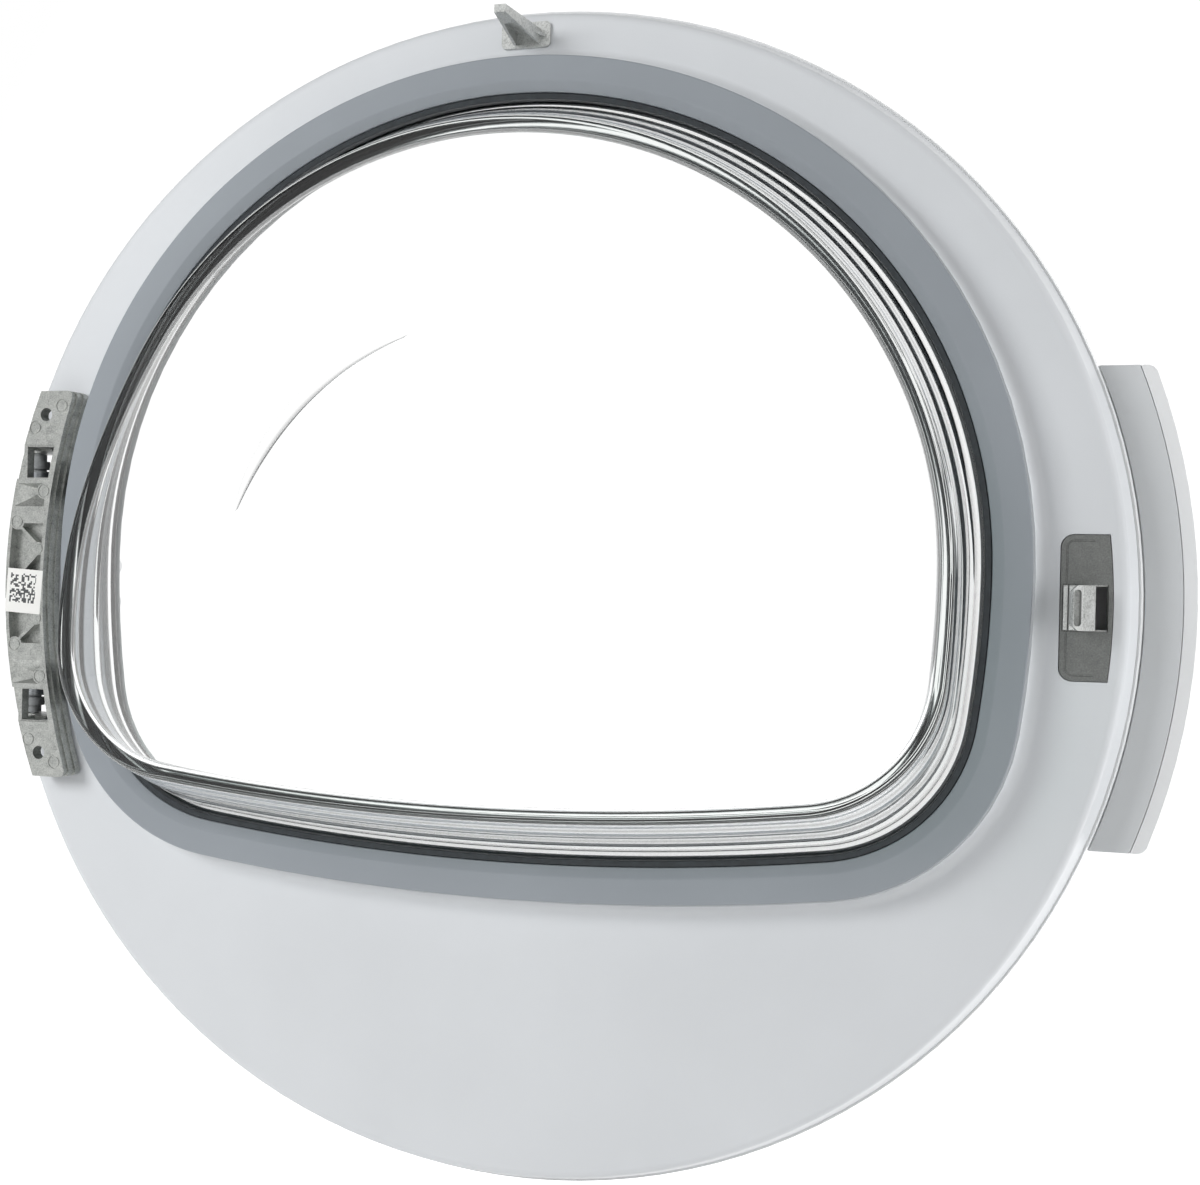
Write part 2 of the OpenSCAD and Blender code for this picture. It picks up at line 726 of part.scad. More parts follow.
module inner_panel() {
    color("gainsboro") place() difference() {
        union() {
            difference() {
                rotate_extrude($fn = ring_fn) polygon(panel_profile());
                translate([0, 0, -panel_wall - cut]) linear_extrude(panel_wall + 2 * cut)
                    polygon(outline(inset(window, -collar_run)));
            }
            swept_ring(window, collar_section());
            snap_hooks();
        }
        hinge_cavity();
        latch_shape(fit, -panel_wall - cut, cut);
        translate([0, prong_y, -panel_wall - cut])
            cylinder(d = screw_d + 1.4, h = panel_wall + 2 * cut, $fn = 24);
        at_clamp_screws() translate([0, 0, lip_low - cut])
            cylinder(d = screw_d + 0.4, h = panel_wall + 2 * cut, $fn = 24);
    }
}

// Hooks that catch behind the outer frame's edge, left out beside the hinge
module snap_hooks() {
    r = door_r + skirt_flare - panel_wall;
    span = 300;
    for (i = [0:snap_count - 1]) rotate(-span / 2 + span * (i + 0.5) / snap_count) {
        translate([r - 1.8, -5, -skirt_h - 6]) cube([1.8, 10, 9]);
        translate([r - 1.8, -5, -skirt_h - 6]) cube([3, 10, 2]);
    }
}

module window_frame() {
    top = collar_h + bezel_t;
    color("slategray") place() difference() {
        swept_ring(window, [[0, collar_h], [0, top - bezel_round],
            [bezel_round * 0.3, top - bezel_round * 0.3], [bezel_round, top],
            [bezel_flat, top], [bezel_flat + 1, top - bezel_fall * 0.08],
            [bezel_w - 0.4, top - bezel_fall], [bezel_w, top - bezel_fall - 0.3],
            [bezel_w, bezel_seat], [skirt_out, bezel_seat],
            [skirt_out, collar_h - bezel_skirt], [skirt_in, collar_h - bezel_skirt],
            [skirt_in, collar_h]]);
        at_clamp_screws() translate([0, 0, collar_h - cut])
            cylinder(d = screw_d + 2 * hold, h = cut + bezel_t - 1, $fn = 24);
    }
}

// Rings of one face of the bowl, from the flange up to its crown, moved inwards by g
function bowl_rings(g, low, top) =
    let (edge = top - bowl_dome, r = max(bowl_round - g, 1.2))
    concat([ring(inset(window, wall_in + g), low)],
           [for (t = [0, 0.5]) lowered(ring(inset(window, wall_in + g) * (1 - t)
               + inset(rim, g) * t, flange_top + foot_round
               + (edge - r - flange_top - foot_round) * t), t)],
           [for (a = [0:30:90])
               lowered(ring(inset(rim, g + r * (1 - cos(a))), edge - r + r * sin(a)), 1)],
           [for (k = [0.84, 0.68, 0.52, 0.36, 0.2])
               lowered(drawn_ring(inset(rim, g + r), edge + bowl_dome * (1 - k * k), k), 1)]);

module glass_bowl() {
    foot = [for (a = [0, 45]) ring(inset(window, foot_in + foot_round * sin(a)),
                                   flange_top + foot_round * (1 - cos(a)))];
    over = concat([ring(inset(window, glass_in), flange_low),
                   ring(inset(window, glass_in), flange_top)], foot,
                  bowl_rings(0, flange_top + foot_round * 0.9, bowl_h));
    under = bowl_rings(glass_t, flange_low, bowl_h - glass_t);
    n = len(over[0]);
    a = len(over);
    b = len(under);
    color("lightcyan", 0.5) place() polyhedron(
        [for (r = concat(over, under), p = r) p],
        concat([for (i = [0:a - 2]) each band(i, i + 1, n)],
               [[for (k = [n - 1:-1:0]) (a - 1) * n + k]],
               [for (i = [0:b - 2]) each band(a + i + 1, a + i, n)],
               [[for (k = [0:n - 1]) (a + b - 1) * n + k]],
               band(a, 0, n)));
}

module bowl_seal() {
    color("black") place() {
        flat_ring(glass_in, foot_in - 0.2, flange_top, bezel_seat);
        flat_ring(seal_in, foot_in - 0.2, flange_top, bezel_seat + seal_rise);
    }
}

module clamp_ring() {
    color("gray") place() difference() {
        union() {
            flat_ring(clamp_in, clamp_out, clamp_low, flange_low);
            flat_ring(clamp_in, lip_w, clamp_low, lip_low);
        }
        at_clamp_screws() translate([0, 0, clamp_low - cut])
            cylinder(d = screw_d + 0.4, h = lip_low - clamp_low + 2 * cut, $fn = 24);
    }
}

module clamp_screws() {
    color("silver") place() at_clamp_screws() translate([0, 0, clamp_low])
        pan_screw(collar_h + bezel_t - 1.4 - clamp_low);
}

module outer_frame() {
    outer = frame_curve(0);
    inner = frame_curve(frame_wall);
    color("whitesmoke") place() difference() {
        union() {
            difference() {
                rotate_extrude($fn = ring_fn)
                    polygon(concat(outer, [for (i = [len(inner) - 1:-1:0]) inner[i]]));
                funnel(reveal_in + reveal_wall / 2, cut);
            }
            intersection() {
                difference() {
                    funnel(reveal_in, 0);
                    funnel(reveal_in + reveal_wall, cut);
                }
                rotate_extrude($fn = ring_fn) polygon(concat(outer, [[0, 5], [outer[0].x, 5]]));
            }
            above_and_below() for (p = [[8, strap_top], [arm_low + arm_h / 2, arm_z]])
                screw_boss([arm_screw_x, p[0]], p[1]);
            for (p = handle_screw_at) screw_boss(p, root_low);
        }
        hinge_cavity();
        at_hinge_screws() translate([0, 0, strap_top + bracket_t - hinge_screw_len - cut])
            cylinder(d = screw_d + 2 * hold, h = hinge_screw_len + 2 * cut, $fn = 24);
        at_handle_screws() translate([0, 0, root_low - screw_grip - 0.2])
            cylinder(d = screw_d + 2 * hold, h = 10, $fn = 24);
        handle_root(fit);
    }
}

// Space inside the flared reveal at inset s, from beyond the front to g above the reveal's top
module funnel(s, g) {
    top = clamp_low - swing_gap;
    low = frame_front - crown_h - cut;
    k = reveal_flare / (top - frame_front);
    rings = [ring(inset(window, s - k * (top - low)), low), ring(inset(window, s + k * g), top + g)];
    n = len(rings[0]);
    polyhedron([for (r = rings, p = r) p],
        concat([[for (i = [0:n - 1]) i]], band(1, 0, n), [[for (i = [n - 1:-1:0]) n + i]]));
}

// Boss on the inside of the bulged front, up to height z
module screw_boss(p, z) {
    foot = front_z(norm(p)) + frame_wall / 2;
    translate([p.x, p.y, foot]) cylinder(r = screw_boss_r, h = z - foot);
}

module at_handle_screws() {
    for (p = handle_screw_at) translate([p.x, p.y, 0]) children();
}

// Curved tongue of the handle that passes through the outer frame, grown by g
module handle_root(g) {
    translate([0, 0, root_low - g]) linear_extrude(root_top - root_low + 2 * g)
        intersection() {
            difference() {
                circle(r = handle_in + 4, $fn = ring_fn);
                circle(r = root_r - g, $fn = ring_fn);
            }
            translate([0, -root_h / 2 - g]) square([handle_r, root_h + 2 * g]);
        }
}

module latch_plate() {
    y = hook_len / 2 + 0.4;
    color("dimgray") place() difference() {
        latch_shape(0, -panel_wall, latch_t - panel_wall);
        translate([foot_x - fit, -y, -panel_wall - cut])
            cube([catch_x + catch_w - foot_x + fit, 2 * y, latch_t + 2 * cut]);
        difference() {
            latch_shape(-1.8, latch_t - panel_wall - 0.3, cut);
            latch_shape(-2.4, -cut, 2 * cut);
            translate([catch_x, -50, -cut]) cube([50, 100, 5]);
        }
    }
}

// Cast catch: a flange behind the panel, a slotted nose and an undercut ramp
module latch_hook() {
    w = hook_body;
    slot_w = hook_nose - 1.8;
    slot_y = hook_len / 2 - 1.6 - slot_w / 2;
    color("silver") place() difference() {
        union() {
            latch_shape(-0.6, -panel_wall - hook_base_t, -panel_wall);
            translate([foot_x, -hook_len / 2, -panel_wall - 0.5])
                cube([foot_w, hook_len, panel_wall + 1.4]);
            translate([hook_x, hook_len / 2, 0]) rotate([90, 0, 0]) linear_extrude(hook_len)
                polygon([[0, -panel_wall - 0.5], [0, hook_h - 1], [0.8, hook_h],
                         [hook_nose, hook_h], [w, hook_h * 0.62], [w, hook_h * 0.5],
                         [w - 3, hook_h * 0.42], [w - 3, -panel_wall - 0.5]]);
        }
        // Slot in the nose, with round ends
        translate([hook_x + 1 + slot_w / 2, 0, hook_h - 7]) {
            translate([-slot_w / 2, -slot_y, 0]) cube([slot_w, 2 * slot_y, 8]);
            for (y = [-slot_y, slot_y]) translate([0, y, 0]) cylinder(d = slot_w, h = 8);
        }
        // Chamfered inner corners of the nose
        above_and_below() translate([hook_x, hook_len / 2, hook_h / 4]) rotate(45)
            translate([-hook_chamfer, -hook_chamfer / sqrt(2), 0])
                cube([2 * hook_chamfer, sqrt(2) * hook_chamfer, hook_h]);
        // Catch window behind the ramp
        translate([catch_x + 0.2, -hook_len / 2 + 0.2, -panel_wall - hook_base_t - cut])
            cube([catch_w - 0.2, hook_len - 0.4, 10]);
        at_latch_screws() translate([0, 0, -panel_wall - hook_base_t - cut])
            cylinder(d = screw_d + 0.4, h = hook_base_t + 2 * cut, $fn = 24);
    }
}

module at_latch_screws() {
    above_and_below() translate([(latch_x + latch_r) / 2, latch_h / 2 - 8, 0]) children();
}

module latch_screws() {
    color("silver") place() at_latch_screws()
        translate([0, 0, -panel_wall - hook_base_t]) pan_screw(hook_base_t);
}

// Hollow prong, open below, on a base that lies on the panel
module switch_prong() {
    open_y = -prong_base_h / 2 + 1.3;
    deep = prong_base_h * 0.56;
    color("silver") place() translate([0, prong_y, 0]) difference() {
        union() {
            translate([-prong_base_w / 2, -prong_base_h / 2, 0]) rounded_slab();
            translate([0, open_y, 0]) taper(prong_w, prong_tip_w, deep, 3, 0);
            // Gusset beside the prong
            translate([prong_shift + prong_w / 2 - 1, open_y + 3.4, prong_base_t - 0.2])
                rotate([90, 0, 0]) linear_extrude(prong_wall)
                    polygon([[0, 0], [3.2, 0], [-0.6, 7]]);
            translate([0, 0, -panel_wall - 0.5]) cylinder(d = screw_d + 1, h = panel_wall + 1);
        }
        translate([0, open_y - 0.01, 0])
            taper(prong_w - 2 * prong_wall, prong_tip_w - 2 * prong_wall,
                  deep - prong_wall, 3 - prong_wall, 0.6);
        translate([0, 0, -panel_wall - 0.5 - cut])
            cylinder(d = screw_d - 0.6, h = panel_wall + cut, $fn = 24);
    }
}

// Tapered block: width w0 and depth d0 at the panel, w1 and d1 at the prong's leaning tip
module taper(w0, w1, d0, d1, low) {
    hull() {
        translate([prong_shift - w0 / 2, 0, low]) cube([w0, d0, 0.6]);
        translate([prong_shift - prong_lean - w1 / 2, 1.4, prong_h - 0.6 - low])
            cube([w1, d1, 0.6]);
    }
}

// Base slab with rounded corners
module rounded_slab() {
    c = 2;
    w = prong_base_w;
    h = prong_base_h;
    linear_extrude(prong_base_t) polygon(concat(arc([w - c, h - c], c, 0, 90, 5),
        arc([c, h - c], c, 90, 180, 5), arc([c, c], c, 180, 270, 5),
        arc([w - c, c], c, 270, 360, 5)));
}

module prong_screw() {
    color("silver") place() translate([0, prong_y, -panel_wall - 0.5]) {
        cylinder(d = screw_d - 0.6 - 2 * hold, h = panel_wall, $fn = 24);
        translate([0, 0, -screw_head_h]) cylinder(d = screw_head_d, h = screw_head_h, $fn = 24);
    }
}

module handle_shell() {
    x = handle_in;
    color("lightgray") place() difference() {
        union() {
            difference() {
                translate([0, 0, handle_front + 1]) linear_extrude(handle_t - 1)
                    polygon(handle_outline(handle_r, handle_h / 2, 0, 4));
                cylinder(r = x, h = through, center = true, $fn = ring_fn);
            }
            difference() {
                translate([0, 0, handle_front]) linear_extrude(2)
                    polygon(handle_outline(handle_r - 1, handle_h / 2 - 1, 0, 3));
                cylinder(r = x + 1, h = through, center = true, $fn = ring_fn);
            }
            handle_root(0);
        }
        // Seat of the back cover
        difference() {
            translate([0, -handle_h, root_top]) cube([handle_r, 2 * handle_h, 20]);
            difference() {
                cylinder(r = handle_r + 9, h = through, center = true, $fn = ring_fn);
                cylinder(r = handle_r - handle_band, h = through, center = true, $fn = ring_fn);
            }
        }
        // Hollow under the cover
        difference() {
            intersection() {
                translate([0, -handle_h / 2 + 3, handle_front + 2.5])
                    cube([handle_r, handle_h - 6, root_top - handle_front]);
                cylinder(r = handle_r - handle_band - 1.5, h = through, center = true, $fn = ring_fn);
            }
            cylinder(r = x + 2, h = through, center = true, $fn = ring_fn);
        }
        at_handle_screws() translate([0, 0, root_low - cut])
            cylinder(d = screw_d + 0.4, h = 20, $fn = 24);
    }
}

module handle_cover() {
    r = handle_r - handle_band - 0.2;
    color("lightgray") place() intersection() {
        difference() {
            translate([0, 0, root_top]) linear_extrude(cover_t)
                polygon(handle_outline(handle_r, handle_h / 2, 0, 4));
            cylinder(r = handle_in + 0.2, h = through, center = true, $fn = ring_fn);
        }
        cylinder(r = r, h = through, center = true, $fn = ring_fn);
    }
}

module handle_screws() {
    color("silver") place() at_handle_screws()
        translate([0, 0, root_top]) mirror([0, 0, 1]) pan_screw(root_top - root_low + screw_grip);
}

hinge_plate();
hinge_label();
upper_hinge_pin();
lower_hinge_pin();
upper_hinge_bush();
lower_hinge_bush();
upper_hinge_arm();
lower_hinge_arm();
hinge_reinforcement();
hinge_screws();
inner_panel();
window_frame();
glass_bowl();
bowl_seal();
clamp_ring();
clamp_screws();
outer_frame();
latch_plate();
latch_hook();
latch_screws();
switch_prong();
prong_screw();
handle_shell();
handle_cover();
handle_screws();
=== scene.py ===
# Tumble dryer door: finishes, glass bowl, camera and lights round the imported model.
from math import atan2, cos, degrees, hypot, radians, sin, sqrt
import bpy
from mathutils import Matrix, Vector


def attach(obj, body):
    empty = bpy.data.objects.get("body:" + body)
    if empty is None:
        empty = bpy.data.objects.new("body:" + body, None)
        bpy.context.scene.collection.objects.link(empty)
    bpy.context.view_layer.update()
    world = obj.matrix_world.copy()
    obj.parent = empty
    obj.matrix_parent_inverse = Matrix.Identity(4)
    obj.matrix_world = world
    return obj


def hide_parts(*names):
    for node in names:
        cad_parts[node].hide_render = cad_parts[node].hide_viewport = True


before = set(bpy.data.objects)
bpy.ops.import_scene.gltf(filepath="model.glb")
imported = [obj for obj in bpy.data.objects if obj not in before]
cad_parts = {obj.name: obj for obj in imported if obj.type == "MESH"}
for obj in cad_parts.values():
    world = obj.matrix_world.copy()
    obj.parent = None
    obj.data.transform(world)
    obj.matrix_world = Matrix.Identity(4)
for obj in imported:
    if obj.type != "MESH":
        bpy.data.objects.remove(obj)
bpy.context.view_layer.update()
MM = 0.001

# Sizes of the door in millimetres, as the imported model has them.
# The door's own frame has x to the handle, y up and z towards the drum.
HOLE_X = 205.94
FACE = 10
ARCH, LIFT, SIDE, CORNER, BOTTOM, DROP = 0, 1, 2, 3, 4, 5
WINDOW = (195.5, 12.5, 400, 75, 950, 117.5)
BOWL_RIM = (169, 9.3, 400, 52, 950, 81.5)
GLASS_WALL, ROOT_WALL, WALL_WAVE = 4.5, 5.8, 0.3
FLANGE_LOW, FLANGE_TOP = 3.5, 8.0
FLANGE_IN, FOOT_IN, FOOT_ROUND = 8.7, 16.7, 1.6
BOWL_TOP, BOWL_DOME, BOWL_ROUND = 59.8, 3.6, 2.5
BOWL_STEP, FOLD_LOW, FOLD_HIGH = 20, -40, 90
CREASE_X, CREASE_Y, CREASE_RADIUS, CREASE_FROM, CREASE_TO = -11, 12, 87, 171, 101
CREASE_WIDTH, CREASE_HEIGHT, CREASE_LIFT = 7.0, 1.9, 0.1
COLLAR, FRAME_T, FRAME_W, FRAME_FLAT, FRAME_FALL = 9.8, 3.4, 13.9, 9.4, 1.8
SEAL_IN, SEAL_W, SEAL_TOP = 14.1, 2.4, 11.0
HINGE_SIDE = ("hinge_plate", "hinge_label", "upper_hinge_pin", "lower_hinge_pin")


# Colour, selection and node helpers

def linear(code, alpha=1.0):
    """An sRGB hex colour as the linear values that shaders use."""
    steps = [int(code[i:i + 2], 16) / 255 for i in (1, 3, 5)]
    return [c / 12.92 if c <= 0.04045 else ((c + 0.055) / 1.055) ** 2.4 for c in steps] + [alpha]


def only(piece):
    """Makes one piece the only selected one."""
    bpy.ops.object.select_all(action="DESELECT")
    piece.select_set(True)
    bpy.context.view_layer.objects.active = piece


def add(tree, kind, inputs, stops=(), **properties):
    """Adds one node. An input takes a value or another node's output, and stops fill a colour ramp."""
    node = tree.nodes.new("ShaderNode" + kind)
    for name, value in properties.items():
        setattr(node, name, value)
    for key, value in inputs.items():
        if isinstance(value, bpy.types.NodeSocket):
            tree.links.new(value, node.inputs[key])
        else:
            node.inputs[key].default_value = value
    for i, (place, code) in enumerate(stops):
        stop = node.color_ramp.elements[i] if i < 2 else node.color_ramp.elements.new(place)
        stop.position = place
        stop.color = linear(code)
    return node


def surface(name, colour, roughness, metallic=0.0, ior=1.5):
    """A new material with a Principled shader, and its node tree and Object coordinates."""
    material = bpy.data.materials.new(name)
    material.use_nodes = True
    tree = material.node_tree
    shader = tree.nodes["Principled BSDF"]
    shader.inputs["Base Color"].default_value = linear(colour)
    shader.inputs["Roughness"].default_value = roughness
    shader.inputs["Metallic"].default_value = metallic
    shader.inputs["IOR"].default_value = ior
    return material, tree, shader, add(tree, "TexCoord", {}).outputs["Object"]


def relief(tree, shader, height, strength, depth_mm):
    """Gives a shader the bump of a height, with its depth in real millimetres."""
    bump = add(tree, "Bump", {"Height": height, "Strength": strength, "Distance": depth_mm * MM})
    tree.links.new(bump.outputs["Normal"], shader.inputs["Normal"])


# Materials

def moulded_abs(name, colour, deep, roughness, skin_mm=0.9):
    """Moulded ABS: an even colour with a fine spark-eroded skin and a soft, slightly uneven sheen."""
    material, tree, shader, where = surface(name, colour, roughness, 0.0, 1.53)
    skin = add(tree, "TexNoise", {"Vector": where, "Scale": 1 / (skin_mm * MM), "Detail": 3.0})
    relief(tree, shader, skin.outputs["Fac"], 0.3, 0.02)
    cloud = add(tree, "TexNoise", {"Vector": where, "Scale": 1 / (60 * MM), "Detail": 2.0})
    tint = add(tree, "ValToRGB", {"Fac": cloud.outputs["Fac"]}, [(0.3, deep), (0.7, colour)])
    tree.links.new(tint.outputs["Color"], shader.inputs["Base Color"])
    gloss = add(tree, "MapRange", {"Value": cloud.outputs["Fac"], "To Min": roughness - 0.06,
                                   "To Max": roughness + 0.06})
    tree.links.new(gloss.outputs["Result"], shader.inputs["Roughness"])
    return material


def die_cast_zinc(name, light, middle, dark, roughness, metallic=0.4):
    """Die-cast zinc: a dull grey skin with faint flow clouds and small dark flecks."""
    material, tree, shader, where = surface(name, middle, roughness, metallic)
    flow = add(tree, "TexNoise", {"Vector": where, "Scale": 1 / (4 * MM), "Detail": 5.0,
                                  "Roughness": 0.6, "Distortion": 0.8})
    fleck = add(tree, "TexNoise", {"Vector": where, "Scale": 1 / (0.6 * MM), "Detail": 3.0})
    relief(tree, shader, fleck.outputs["Fac"], 0.35, 0.04)
    both = add(tree, "Mix", {0: 0.55, 2: flow.outputs["Fac"], 3: fleck.outputs["Fac"]})
    tint = add(tree, "ValToRGB", {"Fac": both.outputs[0]}, [(0.34, dark), (0.66, light), (0.5, middle)])
    tree.links.new(tint.outputs["Color"], shader.inputs["Base Color"])
    gloss = add(tree, "MapRange", {"Value": flow.outputs["Fac"], "From Min": 0.3, "From Max": 0.7,
                                   "To Min": roughness - 0.08, "To Max": roughness + 0.1})
    tree.links.new(gloss.outputs["Result"], shader.inputs["Roughness"])
    return material


def plated_steel(name, colour, dark, roughness):
    """Zinc-plated steel: bright grey with a faint rolled streak."""
    material, tree, shader, where = surface(name, colour, roughness, 1.0)
    streak = add(tree, "Mapping", {"Vector": where, "Scale": (1, 1, 8)})
    grain = add(tree, "TexNoise", {"Vector": streak.outputs["Vector"], "Scale": 1 / (1.2 * MM),
                                   "Detail": 3.0})
    relief(tree, shader, grain.outputs["Fac"], 0.3, 0.02)
    tint = add(tree, "ValToRGB", {"Fac": grain.outputs["Fac"]}, [(0.3, dark), (0.7, colour)])
    tree.links.new(tint.outputs["Color"], shader.inputs["Base Color"])
    return material


def dark_polymer(name, light, dark, roughness, ior, ripple_mm):
    """A dark moulded polymer: near black, with a dull bloom and a slight moulded ripple."""
    material, tree, shader, where = surface(name, dark, roughness, 0.0, ior)
    ripple = add(tree, "TexNoise", {"Vector": where, "Scale": 1 / (ripple_mm * MM), "Detail": 3.0})
    relief(tree, shader, ripple.outputs["Fac"], 0.3, 0.03)
    tint = add(tree, "ValToRGB", {"Fac": ripple.outputs["Fac"]}, [(0.3, dark), (0.75, light)])
    tree.links.new(tint.outputs["Color"], shader.inputs["Base Color"])
    return material


def label_film():
    """White label film with a random grey speckle that stands for print and encodes nothing."""
    material, tree, shader, where = surface("label_film", "#efefec", 0.45)
    turn = add(tree, "Mapping", {"Vector": where, "Location": (-9.06 * MM, 0, -3.4 * MM),
                                 "Rotation": (0, radians(3.5), 0)}, vector_type="TEXTURE")
    cell = add(tree, "VectorMath", {0: turn.outputs["Vector"], 1: (0.75 * MM, 1, 0.75 * MM)},
               operation="SNAP")
    chance = add(tree, "TexWhiteNoise", {"Vector": cell.outputs[0]}, noise_dimensions="3D")
    ink = add(tree, "Math", {0: chance.outputs["Value"], 1: 0.52}, operation="GREATER_THAN")
    part = add(tree, "SeparateXYZ", {0: turn.outputs["Vector"]})
    for axis, middle, half in (("X", -0.6, 6.2), ("Z", 1.2, 6.2)):
        off = add(tree, "Math", {0: part.outputs[axis], 1: middle * MM}, operation="SUBTRACT")
        size = add(tree, "Math", {0: off.outputs[0]}, operation="ABSOLUTE")
        inside = add(tree, "Math", {0: size.outputs[0], 1: half * MM}, operation="LESS_THAN")
        ink = add(tree, "Math", {0: ink.outputs[0], 1: inside.outputs[0]}, operation="MULTIPLY")
    tint = add(tree, "ValToRGB", {"Fac": ink.outputs[0]}, [(0.0, "#efefec"), (1.0, "#4a4c4d")])
    tree.links.new(tint.outputs["Color"], shader.inputs["Base Color"])
    return material


def clear_glass():
    """Pressed soda-lime glass: clear and smooth; light passes to what is behind."""
    material, tree, shader, where = surface("soda_lime_glass", "#ffffff", 0.0)
    shader.inputs["Transmission Weight"].default_value = 1.0
    ripple = add(tree, "TexNoise", {"Vector": where, "Scale": 1 / (45 * MM), "Detail": 1.0})
    relief(tree, shader, ripple.outputs["Fac"], 0.03, 0.03)
    clear = add(tree, "BsdfTransparent", {"Color": linear("#f4f7f6")})
    path = add(tree, "LightPath", {})
    mix = add(tree, "MixShader", {0: path.outputs["Is Shadow Ray"], 1: shader.outputs["BSDF"],
                                  2: clear.outputs["BSDF"]})
    tree.links.new(mix.outputs[0], tree.nodes["Material Output"].inputs["Surface"])
    tint = add(tree, "VolumeAbsorption", {"Color": linear("#e4ebe8"), "Density": 12.0})
    tree.links.new(tint.outputs[0], tree.nodes["Material Output"].inputs["Volume"])
    return material


white_abs = moulded_abs("white_abs", "#d9dcdf", "#d5d8db", 0.34)
grey_abs = moulded_abs("slate_grey_abs", "#93999f", "#8e949a", 0.36)
front_abs = moulded_abs("white_front_abs", "#e6e8e9", "#e3e5e6", 0.22)
handle_abs = moulded_abs("silver_white_abs", "#eaebec", "#e6e8e9", 0.3)
cover_abs = moulded_abs("silver_grey_abs", "#d3d6d8", "#cfd2d4", 0.3)
zinc = die_cast_zinc("die_cast_zinc", "#c0c2be", "#a8aaa7", "#838683", 0.36, 0.7)
dark_zinc = die_cast_zinc("dark_die_cast_zinc", "#7d7f7d", "#6e706e", "#5f6160", 0.5)
pale_zinc = die_cast_zinc("tumbled_zinc", "#dadcda", "#c6c8c6", "#9c9e9c", 0.38, 0.6)
steel = plated_steel("zinc_plated_steel", "#c8cbcc", "#a2a6a8", 0.3)
arm_steel = plated_steel("blued_steel", "#aeb2b5", "#74787b", 0.34)
silicone = dark_polymer("black_silicone", "#33383c", "#282c2f", 0.42, 1.41, 2.5)
clamp_abs = moulded_abs("dark_clamp_abs", "#3c4043", "#383c3f", 0.4)
bush_acetal = dark_polymer("grey_acetal", "#9b9e9f", "#85888a", 0.4, 1.48, 1.0)
film = label_film()
glass = clear_glass()


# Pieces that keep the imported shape: merged, softened at their edges and smooth-shaded


def hold(piece, node):
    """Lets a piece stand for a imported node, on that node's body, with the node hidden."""
    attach(piece, "hinge_plate_side" if node in HINGE_SIDE else "door")
    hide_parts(node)


def soften(piece, edge_mm, angle):
    """Bevels the sharp edges a little and shades the rest smooth, with flat faces kept flat."""
    only(piece)
    if edge_mm:
        bevel = piece.modifiers.new("soft_edges", "BEVEL")
        bevel.width = edge_mm * MM
        bevel.segments = 2
        bevel.limit_method = "ANGLE"
        bevel.angle_limit = radians(angle)
        bevel.use_clamp_overlap = True
        bpy.ops.object.modifier_apply(modifier=bevel.name)
    bpy.ops.object.shade_smooth_by_angle(angle=radians(angle))
    weigh = piece.modifiers.new("flat_faces_lead", "WEIGHTED_NORMAL")
    weigh.keep_sharp = True
    weigh.weight = 100
    bpy.ops.object.modifier_apply(modifier=weigh.name)


def dressed(node, material, edge_mm=0.0, angle=25):
    """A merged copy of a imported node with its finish."""
    piece = bpy.data.objects.new(node + "_skin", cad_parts[node].data.copy())
    bpy.context.scene.collection.objects.link(piece)
    piece.data.materials.clear()
    piece.data.materials.append(material)
    only(piece)
    bpy.ops.object.mode_set(mode="EDIT")
    bpy.ops.mesh.select_all(action="SELECT")
    bpy.ops.mesh.remove_doubles(threshold=0.004 * MM)
    bpy.ops.mesh.dissolve_limited(angle_limit=radians(0.3))
    bpy.ops.object.mode_set(mode="OBJECT")
    soften(piece, edge_mm, angle)
    hold(piece, node)
    return piece


dressed("inner_panel", white_abs, 0.0, 24)
dressed("outer_frame", front_abs, 0.0, 24)
dressed("clamp_ring", clamp_abs)
for plain_node in ("hinge_reinforcement", "hinge_screws", "clamp_screws", "latch_screws",
                   "prong_screw", "handle_screws", "upper_hinge_pin", "lower_hinge_pin"):
    dressed(plain_node, steel)
for bush in ("upper_hinge_bush", "lower_hinge_bush"):
    dressed(bush, bush_acetal)
for arm in ("upper_hinge_arm", "lower_hinge_arm"):
    dressed(arm, arm_steel)
dressed("hinge_plate", zinc, 0.25, 18)
dressed("hinge_label", film)
dressed("latch_plate", dark_zinc, 0.2)
dressed("latch_hook", pale_zinc, 0.3)
dressed("switch_prong", pale_zinc, 0.2)
dressed("handle_shell", handle_abs, 0.3)
dressed("handle_cover", cover_abs, 0.2)


# Rings of the window, swept or lofted along its outline

def inset(outline, step):
    """The six values of an outline moved inwards, with the same arc centres."""
    return tuple(v if i == LIFT else v - step for i, v in enumerate(outline))


def arc(centre, radius, start, end, steps):
    """Points of an arc without its last one, in degrees."""
    turn = [radians(start + (end - start) * i / steps) for i in range(steps)]
    return [(centre[0] + radius * cos(a), centre[1] + radius * sin(a)) for a in turn]


